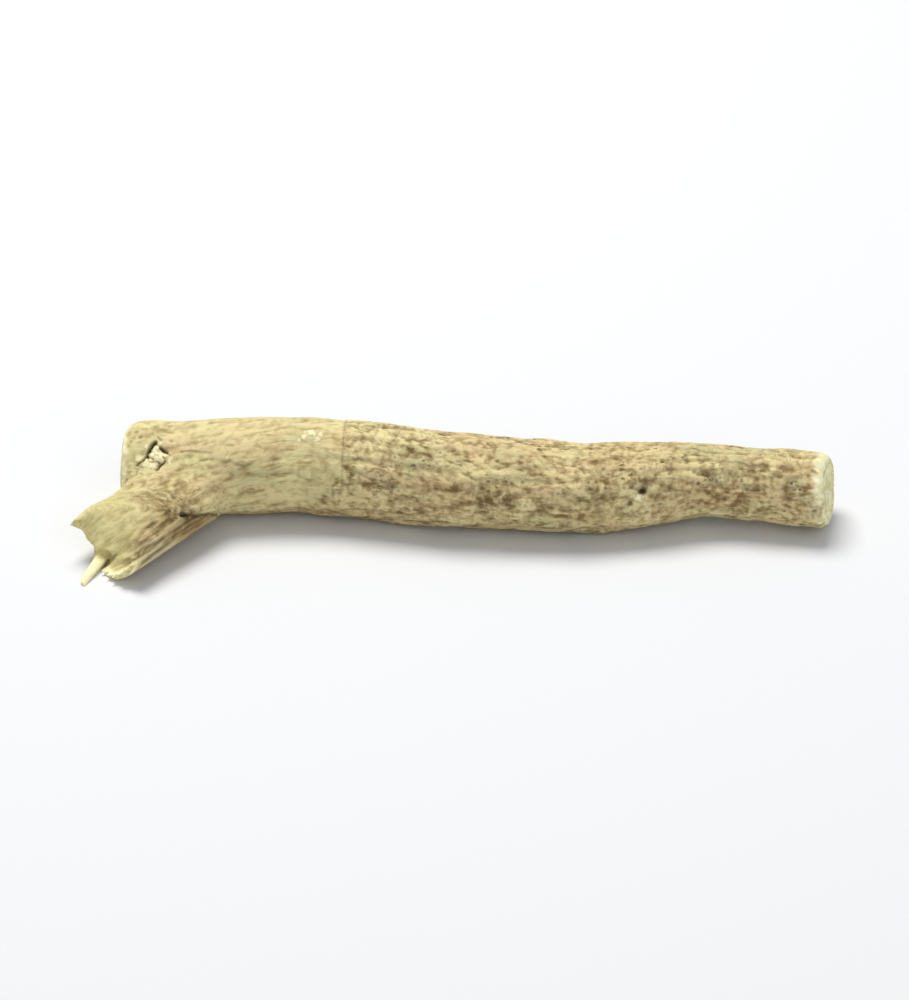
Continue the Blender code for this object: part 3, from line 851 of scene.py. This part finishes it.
def mark_grain(at):
    """Swellings, fine lines, cracks across the grain, stripes, torn fibres, and the grain's tone, which
    follows the relief as painted shade in low places and painted highlight on raised ones.
    """
    grain = at.grain
    uncut = 1 - at.cut
    skin = uncut * (1 - 0.6 * at.torn)
    swell = noise(grain, 0.13, 0.75, 1)
    lines = bell(noise(grain, 0.12, 1, 3) / 0.09) * ramp(-0.1, 0.45, noise(grain, 0.35, 0.6, 4))
    fine = bell(noise(grain, 0.2, 2.1, 5) / 0.12) * ramp(-0.1, 0.4, noise(grain, 0.4, 0.7, 17))
    across = bell(noise(grain, 1, 0.22, 8) / 0.06) * ramp(0.05, 0.5, noise(grain, 0.3, 0.3, 9))
    across = across * at.on_body
    rough = at.coarse + 0.8 * noise(grain, 1.4, 1.8, 7)
    fibres = noise(at.shifted, 0.06, 1.3, 10) + 0.5 * noise(at.shifted, 0.1, 2.8, 11)
    stripes = noise(at.shifted, 0.08, 1.6, 14) + 0.6 * noise(at.shifted, 0.14, 3, 15)
    at.height += SWELL_HEIGHT * swell * skin
    at.height += SMALL_SWELL_HEIGHT * noise(grain, 0.3, 1.7, 2) * skin
    at.height -= (LINE_DEPTH * lines + FINE_LINE_DEPTH * fine) * uncut * (1 - 0.5 * at.torn)
    at.height += ROUGHNESS * rough * (0.4 + 0.6 * at.bark) * uncut * (1 - at.torn)
    at.height -= CROSS_CRACK_DEPTH * across * uncut
    at.height += at.torn * (FIBRE_HEIGHT * fibres + 0.02 * rough - 0.05)
    at.height += STRIPE_HEIGHT * at.side_bark * stripes * (1 - at.torn)
    at.height += at.cut * 0.05 * rough
    drawn = 0.42 * lines * ramp(0.7, -0.3, rough) * (1 - 0.3 * at.bark) + 0.12 * fine
    darken(at, drawn * uncut * (1 - 0.75 * at.torn))
    darken(at, 0.3 * across * at.bark)
    # the tone is darker where the relief is low and paler where it is raised: painted shade and
    # highlight
    tone = 0.5 + 0.3 * rough + 0.2 * swell - 0.2 * fine
    tone += at.side_bark * (0.5 + 0.55 * stripes + 0.1 * rough - tone)
    tone += at.torn * (0.55 + 0.25 * fibres + 0.15 * rough - tone)
    at.tone = np.clip(tone, 0, 1)


def mark_wrinkles(at):
    """Shallow brown wrinkles on the body."""
    broken = ramp(-0.35, 0.35, noise(at.grain, 0.5, 0.9, 20)) * at.near_body * at.on_body
    wobble = at.angle + 0.07 * noise(at.grain, 0.45, 0.45, 21)
    for line in WRINKLES:
        away = to_body_line(at, wobble, line) / WRINKLE_WIDTH
        wrinkle = bell(away * (1 + 0.5 * at.coarse)) * broken
        at.height -= WRINKLE_DEPTH * wrinkle
        darken(at, 0.45 * wrinkle)


def mark_cracks(at):
    """Cracks round the knot with slightly raised lips."""
    ragged = 1 + 0.35 * noise(at.grain, 2.2, 2.2, 12)
    for line, half_width, depth in CRACKS:
        away = to_body_line(at, at.angle, line) / half_width * ragged
        lip = bell((away - 2.1) / 0.9)
        at.height += depth * (0.12 * lip - bell(away)) * at.near_body
        darken(at, min(0.95, 0.1 + depth * 1.6) * plateau(away / 1.15) * at.near_body)


def mark_side(at):
    """Creases, the slit, ridges and the swelling of the side root. The creases and the slit are
    darkened as painted shade, and the ridges are lightened partly as painted highlight.
    """
    steep = ramp(-3.5, -4.5, at.lift)
    facing = at.on_stub * ramp(0.3, 1.5, at.front - 0.8 * steep)
    streaky = 0.5 + 0.5 * ramp(-0.5, 0.1, noise(at.shifted, 0.5, 1.9, 22))
    streaky = np.maximum(streaky, ramp(14, 12.6, at.reach))
    ragged = 1 + 0.3 * noise(at.grain, 0.8, 2.2, 18)
    for line, half_width, depth, strength in [*SIDE_CREASES, SLIT]:
        away = to_side_line(at, line) / half_width * ragged
        shown = at.on_stub if line is SLIT[0] else facing * streaky
        at.height -= depth * bell(away) * shown
        # painted shade in the creases and the slit
        darken(at, strength * plateau(away / 1.2) * shown)
    ragged = 1 + 0.3 * noise(at.grain, 0.8, 2.2, 19)
    for line, half_width, rise, strength in SIDE_RIDGES:
        ridge = bell(to_side_line(at, line) / half_width * ragged) * facing
        at.height += rise * ridge
        # the ridges' paleness is partly painted highlight
        brighten(at, strength * ridge)
    for *place, rise in SIDE_SWELLINGS:
        at.height += rise * bell(to_side_spot(at, *place)) * at.on_stub


def mark_flakes(at):
    """Small flat flakes of pale bark."""
    ragged = 1 + 0.9 * noise(at.grain, 2.1, 3, 13)
    for station, degrees, radius, rise in CHIPS:
        away = to_spot(at, station, degrees) / radius * ragged
        flake = ramp(1.25, 0.9, away) * at.near_body
        at.height += 0.5 * rise * flake
        brighten(at, min(0.95, 0.45 + 5 * rise) * flake)
        at.dark *= 1 - 0.85 * flake


def mark_pits(at):
    """Pits and pores with slightly raised pale lips."""
    ragged = 1 + 0.5 * noise(at.grain, 2.2, 2.8, 16)
    for station, degrees, radius, depth in PITS + pores():
        near = np.abs(at.station - station) < 3 * radius
        away = to_spot(at, station, degrees, near) / radius * ragged[near]
        shown = at.near_body[near]
        lip = bell((away - 1.7) / 0.6) * shown
        shade = min(1, 0.2 + depth * 1.8) * plateau(away / 1.05) * shown
        at.height[near] += depth * (0.2 * lip - bell(away) * shown)
        at.dark[near] = np.maximum(at.dark[near], shade)
        at.pale[near] = np.maximum(at.pale[near], 0.2 * lip)


def mark_edges(at):
    """The dark groove where rough bark begins, and the pale tips of the torn fibres."""
    ring = bell((at.station - BARK_EDGE) / EDGE_GROOVE_WIDTH) * at.on_body
    ring *= np.clip(np.sin(at.angle + math.radians(10)), 0, 1) ** 0.5
    at.height -= EDGE_GROOVE_DEPTH * ring
    darken(at, 0.4 * ring)
    past = at.reach - through(TIPS_FROM, at.lift)
    brighten(at, 0.9 * ramp(-0.4, 0.5, past) * at.on_stub)


def mark_end_faces(at):
    """A groove, rays, splits and the pith of the two cut faces."""
    share = at.away / through(BODY_RADIUS, np.clip(at.station, 0, BODY_LENGTH))
    past = np.maximum(-at.station, at.station - BODY_LENGTH)
    flat = ramp(-0.25, -0.05, past) * (share < 0.93) * at.on_body
    wobble = share + 0.04 * np.cos(3 * at.angle) + 0.02 * np.cos(7 * at.angle + 1)
    groove = bell((wobble - 0.74) / 0.035)
    pith = bell(wobble / 0.12)
    rays = pattern(61, (18, 46), (900, 1000), 0, at.angle) * ramp(0.1, 0.4, wobble)
    split = bell(pattern(62, (2, 5), (900, 1000), 0, at.angle) / 0.13)
    split *= ramp(0.1, 0.3, wobble) * ramp(0.8, 0.5, wobble)
    at.height += flat * (0.03 * rays - 0.1 * groove - 0.12 * pith - 0.16 * split)
    darken(at, flat * (0.22 * groove + 0.22 * pith + 0.3 * split))


def add_relief(at):
    """Adds how high, dark and pale the fine relief makes each point, and its tone."""
    at.height, at.dark, at.pale = np.zeros((3, len(at.angle)))
    at.coarse = noise(at.grain, 0.75, 1, 6)
    at.shifted = at.grain + np.outer(4 * noise(at.grain, 0.05, 0.8, 30), (1, 0, 0))
    mark_grain(at)
    mark_wrinkles(at)
    mark_cracks(at)
    mark_side(at)
    mark_flakes(at)
    mark_pits(at)
    mark_edges(at)
    mark_end_faces(at)


def add_object(name, data):
    obj = bpy.data.objects.new(name, data)
    bpy.context.scene.collection.objects.link(obj)
    return obj


def fused_limbs():
    """The limbs and splinters as overlapping closed skins, fused into one fine mesh."""
    shape = bmesh.new()
    add_skin(shape, body_rings())
    rings = stub_rings()
    add_skin(shape, rings, torn_rows(rings[-1]))
    for place in SPLINTERS + small_splinters():
        add_skin(shape, splinter_rings(place))
    bmesh.ops.recalc_face_normals(shape, faces=shape.faces)
    mesh = bpy.data.meshes.new("limbs")
    shape.to_mesh(mesh)
    shape.free()
    obj = add_object("dried_root", mesh)
    fuse = obj.modifiers.new("fuse", "REMESH")
    fuse.mode = "VOXEL"
    fuse.voxel_size = VOXEL * MM
    apply_modifiers(obj)
    return obj


def apply_modifiers(obj):
    """Makes the modifiers' result the object's own mesh."""
    evaluated = obj.evaluated_get(bpy.context.evaluated_depsgraph_get())
    mesh = bpy.data.meshes.new_from_object(evaluated)
    old = obj.data
    obj.modifiers.clear()
    obj.data = mesh
    bpy.data.meshes.remove(old)


def read_vectors(items, field):
    """A field of three numbers of each item, as rows."""
    found = np.empty(len(items) * 3)
    items.foreach_get(field, found)
    return found.reshape(-1, 3)


def move_to(obj, points):
    obj.data.vertices.foreach_set("co", points.ravel() * MM)
    obj.data.update()


def fill_fork(points):
    """Moves the skin near the fork outwards, so that the limbs meet in a rounded fillet."""
    _, overlap = rounded_union(points)
    reach = round_stub(points)[0]
    near = (overlap > 0) & (reach > 0) & (reach < STUB_LENGTH - 4)
    moved = points[near]
    inwards = ramp(0, 3.5, moved[:, 0] + ORIGIN_STATION)
    step = 0.03
    steps = np.eye(3) * step
    for _ in range(4):
        value, _ = rounded_union(moved)
        rises = [rounded_union(moved + axis)[0] - rounded_union(moved - axis)[0] for axis in steps]
        slope = np.stack(rises, axis=1) / (2 * step)
        steepness = np.maximum((slope**2).sum(axis=1), 0.25)
        move = np.clip(value / steepness, -0.5, 0.5) * inwards
        moved = moved - move[:, None] * slope
    result = points.copy()
    result[near] = moved
    return result


def store(mesh, name, kind, field, values):
    """Stores one value for each vertex."""
    mesh.attributes.new(name, kind, "POINT").data.foreach_set(field, values.ravel())


def paint(mesh, points):
    """Stores what the root's material needs to know at each vertex."""
    at = survey(points)
    none = np.zeros(len(points))
    green = patches_on_body(at, GREEN_PATCHES, 201)
    # brown stains together with painted shade on the body and the side root
    brown = np.maximum(patches_on_body(at, BROWN_PATCHES, 301), side_browns(at))
    pore_fields = [(*field[:4], 1) for field in PORE_FIELDS]
    crowded = patches_on_body(at, pore_fields, 321) * (1 - at.cut)
    channels = {
        "zones": (at.bark, at.torn, at.cut),
        "marks": (green, at.dark, at.pale),
        "stains_and_shade": (brown, at.side_bark, at.tone),
        "specks": (crowded, none, none),
    }
    store(mesh, "grain", "FLOAT_VECTOR", "vector", at.grain)
    for name, values in channels.items():
        store(mesh, name, "FLOAT_COLOR", "color", np.stack([*values, none + 1], axis=1))


def make_root():
    obj = fused_limbs()
    points = fill_fork(read_vectors(obj.data.vertices, "co") / MM)
    move_to(obj, points)
    height = survey(points).height[:, None]
    points = points + read_vectors(obj.data.vertex_normals, "vector") * height
    points[:, 2] = np.maximum(points[:, 2], 0)
    move_to(obj, points)
    thin = obj.modifiers.new("thin", "DECIMATE")
    thin.ratio = min(1, MOST_TRIANGLES / (2 * len(obj.data.polygons)))
    thin.use_collapse_triangulate = True
    apply_modifiers(obj)
    paint(obj.data, read_vectors(obj.data.vertices, "co") / MM)
    obj.data.materials.clear()
    obj.data.materials.append(root_material())
    obj.data.shade_smooth()
    return obj


def screen(colour):
    """A colour from 0 to 255 of a screen as a shader's colour."""
    share = np.array(colour) / 255
    linear = np.where(share <= 0.04045, share / 12.92, ((share + 0.055) / 1.055) ** 2.4)
    return (*linear, 1)


class Graph:
    """Adds nodes to a material with short calls."""

    def __init__(self, name):
        self.material = bpy.data.materials.new(name)
        self.material.use_nodes = True
        self.tree = self.material.node_tree
        self.shader = self.tree.nodes["Principled BSDF"]

    def put(self, node, inputs):
        """Links values to a node's inputs, or sets them."""
        for key, value in inputs.items():
            if isinstance(value, bpy.types.NodeSocket):
                self.tree.links.new(value, node.inputs[key])
            else:
                node.inputs[key].default_value = value

    def add(self, kind, inputs, **settings):
        """A new node with these settings and inputs."""
        node = self.tree.nodes.new("ShaderNode" + kind)
        for name, value in settings.items():
            setattr(node, name, value)
        self.put(node, inputs)
        return node

    def attribute(self, name):
        return self.add("Attribute", {}, attribute_name=name)

    def parts(self, name):
        """The red, green and blue of a colour attribute."""
        colour = self.attribute(name).outputs["Color"]
        return self.add("SeparateColor", {0: colour}).outputs[:3]

    def stretched(self, vector, along, across):
        scale = (along, across, across)
        return self.add("VectorMath", {0: vector, 1: scale}, operation="MULTIPLY").outputs[0]

    def noise(self, vector, along, across, detail=3, roughness=0.55):
        place = self.stretched(vector, along, across)
        inputs = {"Vector": place, "Scale": 1, "Detail": detail, "Roughness": roughness}
        return self.add("TexNoise", inputs).outputs[0]

    def cells(self, vector, along, across, rough, push, feature):
        """Cells of a lattice, pushed about by a rough value."""
        place = self.stretched(vector, along, across)
        inputs = {0: rough, 1: (push, push, push), 2: place}
        pushed = self.add("VectorMath", inputs, operation="MULTIPLY_ADD").outputs[0]
        return self.add("TexVoronoi", {"Vector": pushed, "Scale": 1}, feature=feature).outputs

    def dots(self, vector, along, across, rough):
        """Small irregular specks, 1 inside, in some of the cells of a lattice."""
        cells = self.cells(vector, along, across, rough, 1.2, "F1")
        chosen = self.add("SeparateColor", {0: cells["Color"]}).outputs[0]
        size = self.times(self.ranged(chosen, 0.3, 1), 0.42)
        return self.ranged(self.math("SUBTRACT", size, cells["Distance"]), -0.02, 0.1)

    def math(self, operation, a, b):
        return self.add("Math", {0: a, 1: b}, operation=operation).outputs[0]

    def times(self, a, b):
        return self.math("MULTIPLY", a, b)

    def blend(self, *shares):
        """Weighted sum of values."""
        total = self.times(*shares[0])
        for value, weight in shares[1:]:
            total = self.math("ADD", total, self.times(value, weight))
        return total

    def ranged(self, value, low, high):
        """0 up to low, 1 from high on."""
        inputs = {"Value": value, "From Min": low, "From Max": high}
        return self.add("MapRange", inputs).outputs[0]

    def mix(self, factor, a, b):
        """From colour a to colour b. A colour that is given as a tuple is that of a screen."""
        a, b = (screen(colour) if isinstance(colour, tuple) else colour for colour in (a, b))
        return self.add("Mix", {0: factor, 6: a, 7: b}, data_type="RGBA").outputs[2]


def root_material():
    """Dry root bark, with torn wood and cut wood."""
    g = Graph("dried_root_bark")
    grain = g.attribute("grain").outputs["Vector"]
    bark, torn, cut = g.parts("zones")
    green, dark, pale = g.parts("marks")
    brown, side_bark, form = g.parts("stains_and_shade")
    crowded = g.parts("specks")[0]
    streak = g.noise(grain, 0.16, 1.4)
    fine = g.noise(grain, 0.4, 4)
    grit = g.noise(grain, 1.3, 1.8, 5, 0.7)
    mottle = g.noise(grain, 0.42, 0.55, 4, 0.6)
    broad = g.noise(grain, 0.2, 0.36, 3, 0.65)
    scales = g.cells(grain, 0.85, 1.8, grit, 1.6, "DISTANCE_TO_EDGE")["Distance"]
    specks = g.dots(grain, 0.9, 1.25, grit)
    hue = g.ranged(g.noise(grain, 0.11, 0.24, 2), 0.4, 0.6)
    gaps = g.times(g.ranged(scales, 0.09, 0), g.ranged(mottle, 0.42, 0.58))
    uneven = g.blend((grit, 0.5), (form, 0.5))
    # bare skin near the thick end, then rough bark
    tone = g.blend((streak, 0.2), (fine, 0.12), (grit, 0.28), (mottle, 0.12), (form, 0.28))
    bare = g.mix(g.ranged(tone, 0.54, 0.36), g.mix(hue, STRAW, STRAW_WARM), STRAW_DARK)
    tone = g.blend((streak, 0.08), (fine, 0.06), (grit, 0.32), (mottle, 0.2), (form, 0.34))
    rough = g.mix(g.ranged(tone, 0.54, 0.36), g.mix(hue, BARK, BARK_WARM), BARK_DARK)
    tone = g.blend((broad, 0.45), (mottle, 0.2), (grit, 0.2), (form, 0.15))
    rough = g.mix(g.times(g.ranged(tone, 0.47, 0.38), 0.5), rough, BARK_BLOTCH)
    rough = g.mix(g.times(gaps, 0.4), rough, BARK_DEEP)
    colour = g.mix(bark, bare, rough)
    # the side root's streaked bark, its darker colours partly painted shade on its lower side, then
    # torn wood and cut wood
    tone = g.blend((form, 0.6), (fine, 0.2), (grit, 0.2))
    side = g.mix(g.ranged(tone, 0.26, 0.76), SIDE_BROWN, SIDE_PALE)
    colour = g.mix(g.times(side_bark, 0.85), colour, side)
    tone = g.blend((fine, 0.25), (grit, 0.3), (form, 0.45))
    colour = g.mix(torn, colour, g.mix(g.ranged(tone, 0.38, 0.6), WOOD_DARK, WOOD))
    # cut wood up to near-white cream, partly painted highlight
    colour = g.mix(cut, colour, g.mix(g.ranged(uneven, 0.35, 0.6), WOOD, CREAM))
    # green patches, brown patches that are partly painted shade, specks, cracks and pale flakes
    green = g.times(green, g.times(g.ranged(uneven, 0.4, 0.58), 0.85))
    colour = g.mix(green, colour, GREY_GREEN)
    colour = g.mix(g.times(brown, g.ranged(uneven, 0.64, 0.42)), colour, BARK_DEEP)
    colour = g.mix(g.times(g.times(specks, 0.85), crowded), colour, SPECK_BROWN)
    colour = g.mix(dark, colour, CRACK_BROWN)
    colour = g.mix(pale, colour, CHIP_PALE)
    height = g.blend((fine, 0.45), (grit, 0.55))
    bump = g.add("Bump", {"Strength": BUMP_STRENGTH, "Distance": BUMP_HEIGHT * MM, "Height": height})
    g.put(g.shader, {"Base Color": colour, "Normal": bump.outputs[0]})
    g.put(g.shader, {"Roughness": ROOT_ROUGHNESS, "Specular IOR Level": ROOT_SHINE})
    return g.material


def make_floor():
    g = Graph("floor_white")
    g.put(g.shader, {"Base Color": screen(FLOOR_WHITE), "Roughness": FLOOR_ROUGHNESS})
    corners = [(-1, -1), (1, -1), (1, 1), (-1, 1)]
    mesh = bpy.data.meshes.new("floor")
    mesh.from_pydata([(x * FLOOR_HALF, y * FLOOR_HALF, 0) for x, y in corners], [], [(0, 1, 2, 3)])
    mesh.materials.append(g.material)
    floor = add_object("floor", mesh)


def make_lights():
    for name, place, size, power, colour in LIGHTS:
        light = bpy.data.lights.new(name, "AREA")
        light.shape = "DISK"
        light.size = size
        light.energy = power
        light.color = colour
        lamp = add_object(name, light)
        lamp.location = place
        lamp.rotation_euler = (-Vector(place)).to_track_quat("-Z", "Y").to_euler()
    world = bpy.data.worlds.new("studio")
    world.use_nodes = True
    background = world.node_tree.nodes["Background"]
    background.inputs["Color"].default_value = WORLD_COLOUR
    background.inputs["Strength"].default_value = WORLD_STRENGTH
    bpy.context.scene.world = world


def make_camera():
    low, high = cad_box
    middle = (Vector(low) + Vector(high)) / 2
    distance = VIEW_WIDTH * FRAME_HEIGHT / FRAME_WIDTH * LENS / SENSOR
    camera = bpy.data.cameras.new("camera")
    camera.lens = LENS
    camera.sensor_width = SENSOR
    camera.clip_start = 0.01
    holder = add_object("camera", camera)
    holder.rotation_euler = (math.pi / 2 - VIEW_ELEVATION, 0, VIEW_AZIMUTH)
    holder.location = middle + holder.rotation_euler.to_matrix() @ Vector((0, 0, distance))
    bpy.context.scene.camera = holder


root = make_root()
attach(root, "root")
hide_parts("ashwagandha_root")
make_floor()
make_lights()
make_camera()
bpy.context.scene.view_settings.view_transform = "Standard"
